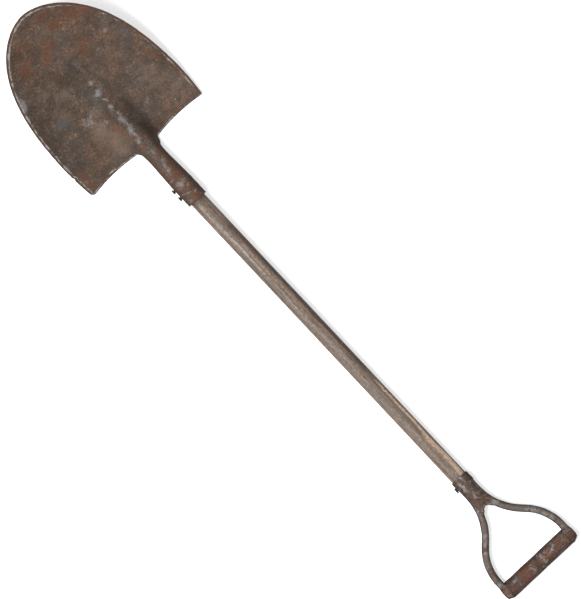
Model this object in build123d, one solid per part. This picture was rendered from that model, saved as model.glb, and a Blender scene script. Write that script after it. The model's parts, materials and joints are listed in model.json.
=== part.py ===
from build123d import *
import math
import os

# Round-point digging shovel with a D-grip, lying on its back with the hollow face up.
# Millimetres. The pieces are built in the tool's own line: Y runs along the shaft towards the blade's
# point, Z up out of the hollow face, and the blade socket's mouth is at Y = 0. At the end the whole tool
# is tipped about X until belly and grip rest on Z = 0, and moved so that the origin is the bottom centre.

# Blade: plate, dish and lift
blade_width = 224.4
blade_reach = 260.0            # point to step, along the shaft
blade_lift = 95.0              # height of the point above the plate at the step
lift_power = 2.1               # how late the plate turns up towards the point
plate_drop = 19.0              # plate at the step, below the shaft's centre line
sheet_thickness = 2.0
nose_power = 3.2               # outline of the point: fullness of the flanks
nose_bluntness = 0.56          # outline of the point: bluntness of the tip
shoulder_draw = 4.0            # how much each side draws in again at the step
dish_at_step = 9.0             # depth of the dish across the step
dish_at_middle = 17.0          # depth of the dish across the widest part
step_hollow = 3.6              # how far the step's edge dips between corner and neck
corner_radius = 2.5
neck_fillet = 6.0

# Frog: the ridge pressed up in the plate, in line with the socket
frog_reach = 124.0             # step to the point where the ridge runs out
frog_lap = 0.4                 # the ridge's skin laps over the socket by this much
frog_end_radius = 4.0
frog_flank_at_neck = 4.0       # rise over run of the ridge's sides
frog_flank_at_end = 0.45
frog_flank_fall = 5.0          # how soon the sides lie down: larger is sooner
frog_sink = 6.0                # the ridge's tail dives this far below the plate at the end of its reach
frog_blend_at_neck = 9.0       # softness of the hollow corner between ridge and plate
frog_blend_at_end = 4.0
tongue_length = 16.0           # how far the ridge's skin runs back over the neck
tongue_flare = 5.0             # the tongue is this much wider, each side, where it meets the step

# Socket
socket_length = 106.5          # mouth to step
socket_straight = 36.0         # parallel part at the mouth
neck_radius = 14.4
neck_station = 88.0            # mouth to the narrowest part
socket_wall = 2.2
seam_gap = 1.6
seam_opening = 30.0            # length over which the seam opens towards the plate
lip_round = 0.7

# Shaft
shaft_radius = 12.5
shaft_bare = 553.2             # length showing between the two sockets
seat_swell = 1.5               # the seat in the blade socket is this much larger in radius
yoke_relief = 0.45             # the end in the yoke is this much smaller in radius
seat_clearance = 0.15
seat_inset = 2.5               # the swelled seat starts this far inside the mouth
seat_end = 80.0                # how far the shaft goes into the blade socket
shoulder_chamfer = 1.2

# Yoke
yoke_wall = 2.4
yoke_mouth_band = 17.0
yoke_neck_station = 40.0
yoke_bore_depth = 38.0
yoke_bore_taper = 0.8          # how much the bore's radius shrinks over its depth
crotch_station = 56.5          # mouth to the inside of the crotch
crotch_radius = 6.2
arm_width = 11.3
arm_depth = 12.8
arm_root_offset = 8.2
arm_root_station = 29.0
arm_turn = 44.0                # degrees that each arm turns out and back
arm_root_bend = 92.0
arm_flat = 11.4
arm_tip_bend = 73.0
crown_width = 33.0
crown_depth = 14.5
crown_station = 51.0

# Grip
grip_station = 169.7           # yoke mouth to the grip's centre line
boss_length = 11.5
boss_over_grip = 0.3           # the bosses stand this far proud of the grip, in radius
boss_band = 2.5                # straight part of the boss next to the grip tube; the rest tapers
boss_end_radius = 9.2
grip_radius = 13.2
grip_wall = 1.8
grip_end_gap = 0.3
spigot_length = 3.0
spigot_clearance = 0.1
pin_radius = 4.0
pin_head_radius = 6.5
pin_head_height = 0.6
pin_clearance = 0.1

# Rivets
rivet_radius = 2.5
rivet_clearance = 0.1
rivet_head_thickness = 2.5
rivet_tail_radius = 3.8        # countersunk tail, flush with the socket
rivet_tail_depth = 1.3
socket_rivet_stations = {"socket_rivet_front": 30.9, "socket_rivet_rear": 17.3}
socket_rivet_head_radius = 3.7
socket_rivet_stand_off = 1.1   # the heads have worked loose and stand off the socket
yoke_rivet_station = 12.2
yoke_rivet_head_radius = 4.3
yoke_rivet_stand_off = 0.0

# Sizes and places that follow from the sizes above
socket_bore = shaft_radius + seat_swell + seat_clearance
socket_radius = socket_bore + socket_wall
neck_bore = neck_radius - socket_wall
yoke_bore = shaft_radius - yoke_relief + seat_clearance
yoke_mouth_radius = yoke_bore + yoke_wall
yoke_neck_radius = yoke_mouth_radius - yoke_bore_taper
boss_radius = grip_radius + boss_over_grip
spigot_radius = grip_radius - grip_wall - spigot_clearance
step_y = socket_length
point_y = step_y + blade_reach
yoke_y = -shaft_bare
crotch_y = yoke_y - crotch_station
grip_y = yoke_y - grip_station
arm_root_y = yoke_y - arm_root_station
turn = math.radians(arm_turn)
arm_flat_end = (
    arm_root_offset + arm_root_bend * (1 - math.cos(turn)) + arm_flat * math.sin(turn),
    arm_root_y - arm_root_bend * math.sin(turn) - arm_flat * math.cos(turn),
)
arm_end = (
    arm_flat_end[0] + arm_tip_bend * (1 - math.cos(turn)),
    arm_flat_end[1] - arm_tip_bend * math.sin(turn),
)
boss_inner_x = arm_end[0] - arm_width / 2
boss_outer_x = boss_inner_x + boss_length
sheet_margin = 8.0             # how far the curved sheet runs past the blade's outline before it is cut
section_points = 33            # points across each section of the sheet
section_count = 24             # sections of the sheet along the blade


def half_width(y):
    """Half the blade's width at a station, from the step to the point."""
    share = min(max((point_y - y) / blade_reach, 0.0), 1.0)
    nose = (1 - (1 - share) ** nose_power) ** nose_bluntness
    draw = shoulder_draw * max(0.0, (share - 0.75) / 0.25) ** 2
    return (blade_width / 2 + shoulder_draw * 0.2) * nose - draw


def eased(share):
    """0 to 1 with a gentle start and end."""
    share = min(max(share, 0.0), 1.0)
    return share * share * (3 - 2 * share)


def plate_height(x, y):
    """The dished plate's front face, without the ridge."""
    share = max((y - step_y) / blade_reach, 0.0)
    sag = dish_at_step + (dish_at_middle - dish_at_step) * eased(share / 0.5)
    return blade_lift * share ** lift_power - plate_drop + sag * (2 * x / blade_width) ** 2


def ridge_height(x, y):
    """The ridge alone: a round crest with straight sides, level at the neck and diving into the plate."""
    share = max((y - step_y) / frog_reach, 0.0)
    left = max(1 - share, 0.0)
    crest_start = neck_radius + frog_lap
    above_plate = (crest_start + plate_drop) * (1 - eased(share)) - frog_sink * share ** 2
    crest = plate_height(0, y) + above_plate
    radius = crest_start + (frog_end_radius - crest_start) * eased(share)
    flank = frog_flank_at_end + (frog_flank_at_neck - frog_flank_at_end) * left ** frog_flank_fall
    lean = math.atan(flank)
    if abs(x) < radius * math.sin(lean):
        return crest - radius + math.sqrt(radius ** 2 - x ** 2)
    return crest - radius * (1 - math.cos(lean)) - flank * (abs(x) - radius * math.sin(lean))


def front_height(x, y):
    """Front face of the blade: plate and ridge joined by a soft hollow corner."""
    plate = plate_height(x, y)
    rise = ridge_height(x, y) - plate
    run = eased((y - step_y) / frog_reach)
    soft = frog_blend_at_neck + (frog_blend_at_end - frog_blend_at_neck) * run
    lifted_by = soft ** 2 / (4 * (neck_radius + frog_lap + plate_drop)) * (1 - run)
    return plate + (rise + math.hypot(rise, soft)) / 2 - lifted_by


def sheet_section(y):
    """Closed section across the sheet: front face, and back face one thickness behind it."""
    half = blade_width / 2 + sheet_margin
    reach = 0.05
    front, back = [], []
    for i in range(section_points):
        t = 2 * i / (section_points - 1) - 1
        x = half * (0.25 * t + 0.75 * t ** 3)
        z = front_height(x, y)
        slope_x = (front_height(x + reach, y) - front_height(x - reach, y)) / (2 * reach)
        slope_y = (front_height(x, y + reach) - front_height(x, y - reach)) / (2 * reach)
        tilt = math.hypot(1, slope_x)
        depth = sheet_thickness * math.hypot(tilt, slope_y) / tilt
        front.append((x, y, z))
        back.append((x + depth * slope_x / tilt, y, z - depth / tilt))
    even = [i / (section_points - 1) for i in range(section_points)]
    front_edge = Edge.make_spline(front, parameters=even)
    back_edge = Edge.make_spline(back, parameters=even)
    left, right = Edge.make_line(front[0], back[0]), Edge.make_line(front[-1], back[-1])
    return Wire([front_edge, right, back_edge, left])


def blade_outline():
    """Plan outline of the plate, step edge and the tongue that laps the neck."""
    corner_x = half_width(step_y)
    neck_x = neck_radius + frog_lap + 1.0
    stations = [step_y + blade_reach * math.cos(math.radians(angle)) for angle in range(90, 0, -10)]
    side = [(half_width(y), y) for y in stations]
    mirrored = [(-x, y) for x, y in reversed(side)]
    nose = Spline(*side, (0, point_y), *mirrored)
    right_step = ThreePointArc(
        (corner_x, step_y), (corner_x * 0.55, step_y + step_hollow), (neck_x + tongue_flare, step_y)
    )
    left_step = mirror(right_step, Plane.YZ)
    tongue_y = step_y - tongue_length
    tongue = Polyline(
        (neck_x + tongue_flare, step_y), (neck_x, tongue_y),
        (-neck_x, tongue_y), (-neck_x - tongue_flare, step_y),
    )
    outline = make_face(Wire([*nose.edges(), *right_step.edges(), *tongue.edges(), *left_step.edges()]))
    outer = [v for v in outline.vertices() if abs(v.Y - step_y) < 0.01 and abs(v.X) > corner_x / 2]
    outline = fillet(outer, corner_radius)
    inner = [v for v in outline.vertices() if abs(v.Y - step_y) < 0.01 and abs(v.X) < corner_x / 2]
    return fillet(inner, neck_fillet)


def make_sheet():
    """The pressed plate and ridge, one thickness of sheet, cut to its outline."""
    low, high = step_y - tongue_length - sheet_margin, point_y + sheet_margin
    stations = [low + (high - low) * j / (section_count - 1) for j in range(section_count)]
    sheet = Solid.make_loft([sheet_section(y) for y in stations])
    tall = 3 * (blade_lift + plate_drop)
    return extrude(blade_outline(), tall, both=True) & sheet


def turned(profile):
    """A solid turned about the shaft's line from (radius, station) corners."""
    return revolve(make_face(Polyline(*[(r, y) for r, y in profile], close=True)), Axis.Y)


def make_socket():
    """The rolled socket: a tapering tube with its seam at the back, opening towards the plate."""
    front = step_y + 2
    outside = turned([
        (0, 0), (socket_radius - lip_round, 0),
        (socket_radius, lip_round), (socket_radius, socket_straight),
        (neck_radius, neck_station), (neck_radius, front), (0, front),
    ])
    inside = turned([
        (0, -1), (socket_bore, -1), (socket_bore, socket_straight), (neck_bore, neck_station),
        (neck_bore, front + 1), (0, front + 1),
    ])
    seam = Polyline(
        (seam_gap / 2, -1), (seam_gap / 2, step_y - seam_opening), (neck_radius + 1, front + 1),
        (-neck_radius - 1, front + 1), (-seam_gap / 2, step_y - seam_opening), (-seam_gap / 2, -1),
        close=True,
    )
    seam_cut = extrude(make_face(seam), socket_radius + 1, dir=(0, 0, -1))
    return outside - inside - seam_cut


def cross_hole(station, radius):
    """A hole straight across a socket for a rivet."""
    length = 4 * socket_radius
    return Cylinder(radius, length).rotate(Axis.Y, 90).moved(Location((0, station, 0)))


def tail_sink(station, wall_radius, clearance):
    """The countersink that a rivet's tail is driven into, on the right side."""
    low, high = rivet_radius + clearance, rivet_tail_radius + clearance
    cone = Cone(low, high, rivet_tail_depth).rotate(Axis.Y, 90)
    return cone.moved(Location((wall_radius - rivet_tail_depth / 2, station, 0)))


def make_blade():
    """Plate, ridge and socket: one pressing."""
    blade = make_sheet() + make_socket()
    for station in socket_rivet_stations.values():
        blade -= cross_hole(station, rivet_radius + rivet_clearance)
        blade -= tail_sink(station, socket_radius, rivet_clearance)
    return blade


def make_shaft():
    """Turned shaft: swelled seat in the blade socket, taper in the yoke."""
    slope = (socket_bore - neck_bore) / (neck_station - socket_straight)
    seat_radius = socket_bore - seat_clearance
    end_radius = seat_radius - slope * (seat_end - socket_straight)
    yoke_start = yoke_bore - seat_clearance
    yoke_end_station = yoke_bore_depth - 2
    yoke_end = yoke_start - yoke_bore_taper * yoke_end_station / yoke_bore_depth
    shaft = turned([
        (0, seat_end), (end_radius - 1.5, seat_end), (end_radius, seat_end - 1.5),
        (seat_radius, socket_straight), (seat_radius, seat_inset + shoulder_chamfer),
        (shaft_radius, seat_inset), (shaft_radius, yoke_y + shoulder_chamfer / 2), (yoke_start, yoke_y),
        (yoke_end, yoke_y - yoke_end_station), (0, yoke_y - yoke_end_station),
    ])
    for station in socket_rivet_stations.values():
        shaft -= cross_hole(station, rivet_radius)
    return shaft - cross_hole(yoke_y - yoke_rivet_station, rivet_radius)


def make_rivet(station, wall_radius, head_radius, stand_off):
    """A rivet across a socket: flat head on the left, countersunk tail flush on the right."""
    left = -wall_radius - stand_off
    shank = Cylinder(rivet_radius, wall_radius - left - 0.1).rotate(Axis.Y, 90)
    shank = shank.moved(Location(((wall_radius - 0.1 + left) / 2, station, 0)))
    head = Cylinder(head_radius, rivet_head_thickness)
    head = fillet(head.edges().group_by(Axis.Z)[-1], rivet_head_thickness * 0.3)
    head = head.rotate(Axis.Y, -90).moved(Location((left - rivet_head_thickness / 2, station, 0)))
    flush = Cylinder(wall_radius, 4 * rivet_tail_radius).rotate(Axis.X, 90).moved(Location((0, station, 0)))
    tail = tail_sink(station, wall_radius, 0) & flush
    return shank + head + tail


def make_arm(side):
    """One arm of the yoke: an oval bar that turns out, runs straight, and turns back to its boss."""
    root = (arm_root_offset, arm_root_y)
    root_bend = JernArc(root, (0, -1), arm_root_bend, arm_turn)
    flat = Line(root_bend @ 1, arm_flat_end)
    tip_bend = JernArc(arm_flat_end, flat % 1, arm_tip_bend, -arm_turn)
    run_out = Line(tip_bend @ 1, (arm_end[0], grip_y))
    path = Wire([*root_bend.edges(), *flat.edges(), *tip_bend.edges(), *run_out.edges()])
    across = Plane(origin=(*root, 0), x_dir=(1, 0, 0), z_dir=(0, -1, 0))
    section = across * Ellipse(arm_width / 2, arm_depth / 2)
    arm = sweep(section, path=path)
    return arm if side > 0 else mirror(arm, Plane.YZ)


def make_boss(side):
    """The round boss at an arm's end, with the spigot that centres the grip tube."""
    band = Cylinder(boss_radius, boss_band).moved(Location((0, 0, (boss_band - boss_length) / 2)))
    taper = Cone(boss_radius, boss_end_radius, boss_length - boss_band)
    boss = band + taper.moved(Location((0, 0, boss_band / 2)))
    spigot = Cylinder(spigot_radius, spigot_length)
    spigot = spigot.moved(Location((0, 0, -(boss_length + spigot_length) / 2)))
    middle = side * (boss_inner_x + boss_length / 2)
    return (boss + spigot).rotate(Axis.Y, 90 * side).moved(Location((middle, grip_y, 0)))


def make_yoke():
    """Socket, crown, two arms and two bosses in one casting."""
    socket = turned([
        (0, yoke_y), (yoke_mouth_radius - lip_round, yoke_y), (yoke_mouth_radius, yoke_y - lip_round),
        (yoke_mouth_radius, yoke_y - yoke_mouth_band * 0.6), (yoke_neck_radius, yoke_y - yoke_mouth_band),
        (yoke_neck_radius, yoke_y - yoke_neck_station), (0, yoke_y - yoke_neck_station),
    ])
    neck_plane = Plane(origin=(0, yoke_y - yoke_neck_station + 2, 0), x_dir=(1, 0, 0), z_dir=(0, -1, 0))
    crown_plane = Plane(origin=(0, yoke_y - crown_station, 0), x_dir=(1, 0, 0), z_dir=(0, -1, 0))
    crotch_plane = crown_plane.offset(crotch_station + crotch_radius - crown_station)
    crown = loft([
        neck_plane * Circle(yoke_neck_radius),
        crown_plane * Ellipse(crown_width / 2, crown_depth / 2 + 2),
        crotch_plane * Ellipse(crown_width / 2 + 4, arm_depth / 2),
    ])
    yoke = socket + crown
    for side in (1, -1):
        yoke += make_arm(side)
        yoke += make_boss(side)
    crotch = Cylinder(crotch_radius, 4 * crown_depth).moved(Location((0, crotch_y - crotch_radius, 0)))
    bore = turned([
        (0, yoke_y + 1), (yoke_bore, yoke_y + 1), (yoke_bore, yoke_y),
        (yoke_bore - yoke_bore_taper, yoke_y - yoke_bore_depth), (0, yoke_y - yoke_bore_depth),
    ])
    yoke = yoke - crotch - bore
    rivet_y = yoke_y - yoke_rivet_station
    yoke -= cross_hole(rivet_y, rivet_radius + rivet_clearance)
    yoke -= tail_sink(rivet_y, yoke_mouth_radius, rivet_clearance)
    pin_hole = Cylinder(pin_radius + pin_clearance, 3 * boss_outer_x).rotate(Axis.Y, 90)
    return yoke - pin_hole.moved(Location((0, grip_y, 0)))


def make_grip_tube():
    """The round grip between the bosses."""
    length = 2 * (boss_inner_x - grip_end_gap)
    tube = Cylinder(grip_radius, length) - Cylinder(grip_radius - grip_wall, length)
    return tube.rotate(Axis.Y, 90).moved(Location((0, grip_y, 0)))


def make_grip_pin():
    """Through pin with a low peened head on each boss."""
    pin = Cylinder(pin_radius, 2 * boss_outer_x)
    for side in (1, -1):
        head = Cone(pin_head_radius, pin_radius, pin_head_height)
        head = head.moved(Location((0, 0, boss_outer_x + pin_head_height / 2)))
        pin += head if side > 0 else mirror(head, Plane.XY)
    return pin.rotate(Axis.Y, 90).moved(Location((0, grip_y, 0)))


def rest_tip():
    """Angle in degrees that tips the tool about X until the blade's belly and the grip stand level."""
    tips = []
    for i in range(101):
        y = step_y + blade_reach * i / 100
        z = min(front_height(x, y) for x in range(0, int(blade_width / 4), 3)) - sheet_thickness
        away = math.hypot(y - grip_y, z)
        tips.append(math.asin(-boss_radius / away) - math.atan2(z, y - grip_y))
    return math.degrees(max(tips))


parts = {
    "blade": make_blade(),
    "shaft": make_shaft(),
    "yoke": make_yoke(),
    "yoke_rivet": make_rivet(
        yoke_y - yoke_rivet_station, yoke_mouth_radius, yoke_rivet_head_radius, yoke_rivet_stand_off
    ),
    "grip_tube": make_grip_tube(),
    "grip_pin": make_grip_pin(),
}
for name, station in socket_rivet_stations.items():
    parts[name] = make_rivet(station, socket_radius, socket_rivet_head_radius, socket_rivet_stand_off)

tip = rest_tip()
tipped = {name: shape.rotate(Axis.X, tip) for name, shape in parts.items()}
whole = Compound(children=[Compound(shape.wrapped) for shape in tipped.values()]).bounding_box()
seat = Location((0, -(whole.min.Y + whole.max.Y) / 2, -whole.min.Z))

os.makedirs("parts", exist_ok=True)
for name, shape in tipped.items():
    export_step(shape.moved(seat), f"parts/{name}.step")
print("tipped by", round(tip, 4), "degrees, then moved by", seat.position)
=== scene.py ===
import json
import math

import bmesh
import bpy
import numpy as np
from mathutils import Matrix, Vector, geometry, kdtree, noise

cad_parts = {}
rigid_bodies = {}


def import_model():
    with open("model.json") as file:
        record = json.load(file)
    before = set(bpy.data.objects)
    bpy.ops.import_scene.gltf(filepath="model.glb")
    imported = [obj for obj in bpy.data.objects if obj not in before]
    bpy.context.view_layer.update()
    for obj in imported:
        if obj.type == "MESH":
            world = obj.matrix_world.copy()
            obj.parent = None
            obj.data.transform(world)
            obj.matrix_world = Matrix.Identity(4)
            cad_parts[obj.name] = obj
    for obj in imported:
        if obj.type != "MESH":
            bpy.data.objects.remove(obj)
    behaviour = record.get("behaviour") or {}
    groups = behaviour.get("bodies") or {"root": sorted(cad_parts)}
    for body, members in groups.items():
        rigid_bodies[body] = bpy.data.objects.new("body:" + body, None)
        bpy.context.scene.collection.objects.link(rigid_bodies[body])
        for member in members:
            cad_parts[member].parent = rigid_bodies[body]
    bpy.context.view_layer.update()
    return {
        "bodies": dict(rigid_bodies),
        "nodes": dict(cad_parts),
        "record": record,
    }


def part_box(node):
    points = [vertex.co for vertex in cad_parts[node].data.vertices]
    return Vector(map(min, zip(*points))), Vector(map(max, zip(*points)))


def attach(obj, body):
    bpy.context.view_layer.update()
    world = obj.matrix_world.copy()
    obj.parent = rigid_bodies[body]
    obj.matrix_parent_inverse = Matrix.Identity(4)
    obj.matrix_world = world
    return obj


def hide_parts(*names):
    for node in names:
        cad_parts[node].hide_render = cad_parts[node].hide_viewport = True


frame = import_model()
mm = 0.001
body = next(iter(frame["bodies"]))

# The tool's own line: Y along the shaft towards the blade's point, Z up out of the hollow face, and 0 at the
# mouth of the blade's socket. Pieces are made on this line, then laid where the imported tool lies.
clip = next(mount for mount in frame["record"]["mounts"] if mount["name"] == "shaft_clip")
bareLength = clip["dims"]["length_mm"] * mm
alongTool = Vector(clip["axis"]).normalized()
acrossTool = Vector((1, 0, 0))
outOfTool = acrossTool.cross(alongTool)
mouthPoint = Vector(clip["pos_m"]) + alongTool * bareLength / 2
tip = math.atan2(alongTool.z, alongTool.y)
toolPlace = Matrix((acrossTool, alongTool, outOfTool)).transposed().to_4x4()
toolPlace.translation = mouthPoint
print("frame loaded, tool line tipped", round(math.degrees(tip), 3), "degrees")


def eased(share):
    share = np.clip(share, 0.0, 1.0)
    return share * share * (3 - 2 * share)


def roughness(points, size, seed):
    # smooth noise from -1 to 1 at each point, with lumps of the given size
    shift = Vector((seed * 3.7, seed * 1.3, seed * 5.9))
    return np.array([noise.noise(Vector(p) / size + shift) for p in points])


def addObject(name, data):
    made = bpy.data.objects.new(name, data)
    bpy.context.scene.collection.objects.link(made)
    return made


def newObject(name, points, faces):
    mesh = bpy.data.meshes.new(name)
    mesh.from_pydata([tuple(p) for p in points], [], [tuple(int(i) for i in f) for f in faces])
    mesh.validate()
    return addObject(name, mesh)


def cleanMesh(mesh, mergeWithin=0.0, faceOut=True):
    work = bmesh.new()
    work.from_mesh(mesh)
    if mergeWithin:
        bmesh.ops.remove_doubles(work, verts=work.verts, dist=mergeWithin)
    if faceOut:
        bmesh.ops.recalc_face_normals(work, faces=work.faces)
    work.to_mesh(mesh)
    work.free()


def skinOf(blank, modifier):
    # the plain mesh that a modifier makes; the blank isn't kept
    graph = bpy.context.evaluated_depsgraph_get()
    mesh = bpy.data.meshes.new_from_object(blank.evaluated_get(graph))
    blank.modifiers.remove(modifier)
    bpy.data.objects.remove(blank)
    return mesh


def paintPoints(piece, name, values):
    attribute = piece.data.attributes.new(name, "FLOAT", "POINT")
    attribute.data.foreach_set("value", np.asarray(values, np.float32))


def meshPoints(mesh):
    found = np.empty(len(mesh.vertices) * 3)
    mesh.vertices.foreach_get("co", found)
    return found.reshape(-1, 3)


def meshNormals(mesh):
    found = np.empty(len(mesh.vertices) * 3)
    mesh.vertices.foreach_get("normal", found)
    return found.reshape(-1, 3)


def smoothed(mesh, points, rounds, share=0.5):
    # each point moves towards the middle of its neighbours, round after round
    ends = np.empty(len(mesh.edges) * 2, np.int64)
    mesh.edges.foreach_get("vertices", ends)
    first, second = ends[0::2], ends[1::2]
    count = np.bincount(ends, minlength=len(points))[:, None]
    for _ in range(rounds):
        total = np.zeros_like(points)
        for axis in range(3):
            total[:, axis] += np.bincount(first, points[second, axis], len(points))
            total[:, axis] += np.bincount(second, points[first, axis], len(points))
        points = points + share * (total / np.maximum(count, 1) - points)
    return points


def paintEdges(piece, rounds, reach):
    # "edge" is 1 on outward edges, 0 on flats, -1 in hollows
    points = meshPoints(piece.data)
    away = ((points - smoothed(piece.data, points, rounds)) * meshNormals(piece.data)).sum(axis=1)
    paintPoints(piece, "edge", np.clip(away / reach, -1, 1))


def paintSideShade(piece, start=0.97, end=0.45):
    # "side" is 0 where the surface faces up or down as the tool lies, 1 where it faces sideways; the steel's
    # colour is darkened by it as painted shade
    facing = np.abs(meshNormals(piece.data) @ np.array(outOfTool))
    paintPoints(piece, "side", eased((start - facing) / (start - end)))


def shadeSmooth(piece, sharpDegrees=42):
    piece.data.polygons.foreach_set("use_smooth", [True] * len(piece.data.polygons))
    piece.data.set_sharp_from_angle(angle=math.radians(sharpDegrees))


def hangOn(piece, slotName, material, *nodes):
    piece.data.materials.clear()
    piece.data.materials.append(material)
    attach(piece, body)
    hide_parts(*nodes)
    print(piece.name, "stands for", ", ".join(nodes), "with", len(piece.data.polygons), "faces")


def plug(tree, socket, value):
    if isinstance(value, bpy.types.NodeSocket):
        tree.links.new(value, socket)
    elif value is not None:
        socket.default_value = value


def calc(tree, operation, first, second=None, third=None):
    node = tree.nodes.new("ShaderNodeMath")
    node.operation = operation
    for socket, value in zip(node.inputs, (first, second, third)):
        plug(tree, socket, value)
    return node.outputs[0]


def times(tree, first, second):
    return calc(tree, "MULTIPLY", first, second)


def apart(tree, first, second):
    return calc(tree, "ABSOLUTE", calc(tree, "SUBTRACT", first, second))


def between(tree, value, low, high):
    # 0 below low, 1 above high, smooth between; low may be the larger of the two
    node = tree.nodes.new("ShaderNodeMapRange")
    node.interpolation_type = "SMOOTHSTEP"
    plug(tree, node.inputs["Value"], value)
    plug(tree, node.inputs["From Min"], low)
    plug(tree, node.inputs["From Max"], high)
    return node.outputs["Result"]


def axes(tree, vector):
    node = tree.nodes.new("ShaderNodeSeparateXYZ")
    plug(tree, node.inputs[0], vector)
    return node.outputs


def stretch(tree, vector, scale, shift=(0, 0, 0)):
    node = tree.nodes.new("ShaderNodeMapping")
    plug(tree, node.inputs["Vector"], vector)
    node.inputs["Scale"].default_value = scale
    node.inputs["Location"].default_value = shift
    return node.outputs["Vector"]


def moved(tree, vector, *shift):
    # reads a pattern from another place, so that two patterns don't match
    return stretch(tree, vector, (1, 1, 1), shift)


def cloud(tree, vector, scale, detail=3.0, rough=0.6, warp=0.0):
    node = tree.nodes.new("ShaderNodeTexNoise")
    plug(tree, node.inputs["Vector"], vector)
    plug(tree, node.inputs["Scale"], scale)
    node.inputs["Detail"].default_value = detail
    node.inputs["Roughness"].default_value = rough
    node.inputs["Distortion"].default_value = warp
    return node.outputs["Fac"]


def blend(tree, share, first, second, how="MIX"):
    node = tree.nodes.new("ShaderNodeMix")
    node.data_type = "RGBA"
    node.blend_type = how
    sockets = [s for s in node.inputs if s.enabled]
    plug(tree, sockets[0], share)
    plug(tree, sockets[1], first)
    plug(tree, sockets[2], second)
    return next(s for s in node.outputs if s.enabled)


def tinted(tree, colour, mask, strength, tone):
    # the tone laid over the colour where the mask is, at most at the given strength
    return blend(tree, times(tree, mask, strength), colour, tone)


def paint(red, green, blue, studioLight=0.56):
    # a colour as it looks under the studio's light, 0 to 255, as the renderer's linear colour
    linear = [studioLight * ((c / 255 + 0.055) / 1.055) ** 2.4 for c in (red, green, blue)]
    return (*linear, 1.0)


def newGroup(name, inputs, outputs):
    kinds = {"vector": "NodeSocketVector", "value": "NodeSocketFloat", "colour": "NodeSocketColor"}
    tree = bpy.data.node_groups.new(name, "ShaderNodeTree")
    for label, kind, value in inputs:
        socket = tree.interface.new_socket(label, in_out="INPUT", socket_type=kinds[kind])
        if value is not None:
            socket.default_value = value
    for label, kind in outputs:
        tree.interface.new_socket(label, in_out="OUTPUT", socket_type=kinds[kind])
    start, end = tree.nodes.new("NodeGroupInput"), tree.nodes.new("NodeGroupOutput")
    return tree, start.outputs, end.inputs


def place(tree, group, values):
    node = tree.nodes.new("ShaderNodeGroup")
    node.node_tree = group
    for label, value in values.items():
        plug(tree, node.inputs[label], value)
    return node.outputs


def makeRustCoat():
    # old rust: a brown ground with dark, orange and grey stains, and a fine pale and dark speckle over all
    tree, given, made = newGroup("rustCoat", [
        ("Vector", "vector", None), ("Stain Scale", "value", 30.0), ("Speck Scale", "value", 400.0),
        ("Brown", "colour", paint(97, 82, 70)), ("Dark", "colour", paint(70, 58, 48)),
        ("Pale", "colour", paint(136, 122, 110)), ("Orange", "colour", paint(116, 74, 52)),
        ("Grey", "colour", paint(100, 100, 100)),
        ("Dark Amount", "value", 0.7), ("Pale Amount", "value", 0.5),
        ("Orange Amount", "value", 0.6), ("Grey Amount", "value", 0.5), ("Mottle", "value", 1.2),
    ], [("Color", "colour"), ("Roughness", "value"), ("Height", "value")])
    vector, stainScale, speckScale = given["Vector"], given["Stain Scale"], given["Speck Scale"]
    broad = cloud(tree, vector, stainScale, 4, 0.6)
    wide = cloud(tree, moved(tree, vector, 0.31, 0.17, 0.05), times(tree, stainScale, 0.6), 3, 0.55)
    small = cloud(tree, moved(tree, vector, 0.07, 0.43, 0.11), times(tree, stainScale, 2.4), 5, 0.65)
    speck = cloud(tree, vector, speckScale, 3, 0.7, 0.9)
    grit = cloud(tree, vector, times(tree, speckScale, 2.3), 2, 0.6)
    curls = cloud(tree, moved(tree, vector, 0.2, 0.1, 0.6), times(tree, speckScale, 0.7), 2, 0.5, 1.4)
    worm = between(tree, apart(tree, curls, 0.5), 0.035, 0.0)
    darkMask = times(tree, between(tree, wide, 0.56, 0.38), given["Dark Amount"])
    greyMask = times(tree, between(tree, broad, 0.56, 0.42), given["Grey Amount"])
    orangeFrom = calc(tree, "MULTIPLY_ADD", small, 0.55, times(tree, wide, 0.45))
    orangeMask = times(tree, between(tree, orangeFrom, 0.5, 0.6), given["Orange Amount"])
    palePatch = calc(tree, "MULTIPLY_ADD", between(tree, small, 0.4, 0.62), 0.75, 0.35)
    flecks = calc(tree, "MAXIMUM", between(tree, speck, 0.5, 0.7), times(tree, worm, 0.8))
    paleMask = times(tree, times(tree, flecks, palePatch), given["Pale Amount"])
    pits = times(tree, between(tree, speck, 0.48, 0.3), given["Pale Amount"])
    colour = blend(tree, darkMask, given["Brown"], given["Dark"])
    colour = blend(tree, greyMask, colour, given["Grey"])
    colour = blend(tree, orangeMask, colour, given["Orange"])
    colour = tinted(tree, colour, pits, 0.8, given["Dark"])
    colour = blend(tree, paleMask, colour, given["Pale"])
    blotches = calc(tree, "ADD", times(tree, small, 0.5), times(tree, speck, 0.5))
    contrast = times(tree, given["Mottle"], 2.0)
    shade = calc(tree, "MULTIPLY_ADD", calc(tree, "SUBTRACT", blotches, 0.5), contrast, 1.0)
    colour = blend(tree, 1.0, colour, calc(tree, "MAXIMUM", shade, 0.25), "MULTIPLY")
    plug(tree, made["Color"], colour)
    plug(tree, made["Roughness"], calc(tree, "MULTIPLY_ADD", speck, 0.25, 0.62))
    plug(tree, made["Height"], calc(tree, "MULTIPLY_ADD", grit, 0.3, times(tree, speck, 0.7)))
    return tree


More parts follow.
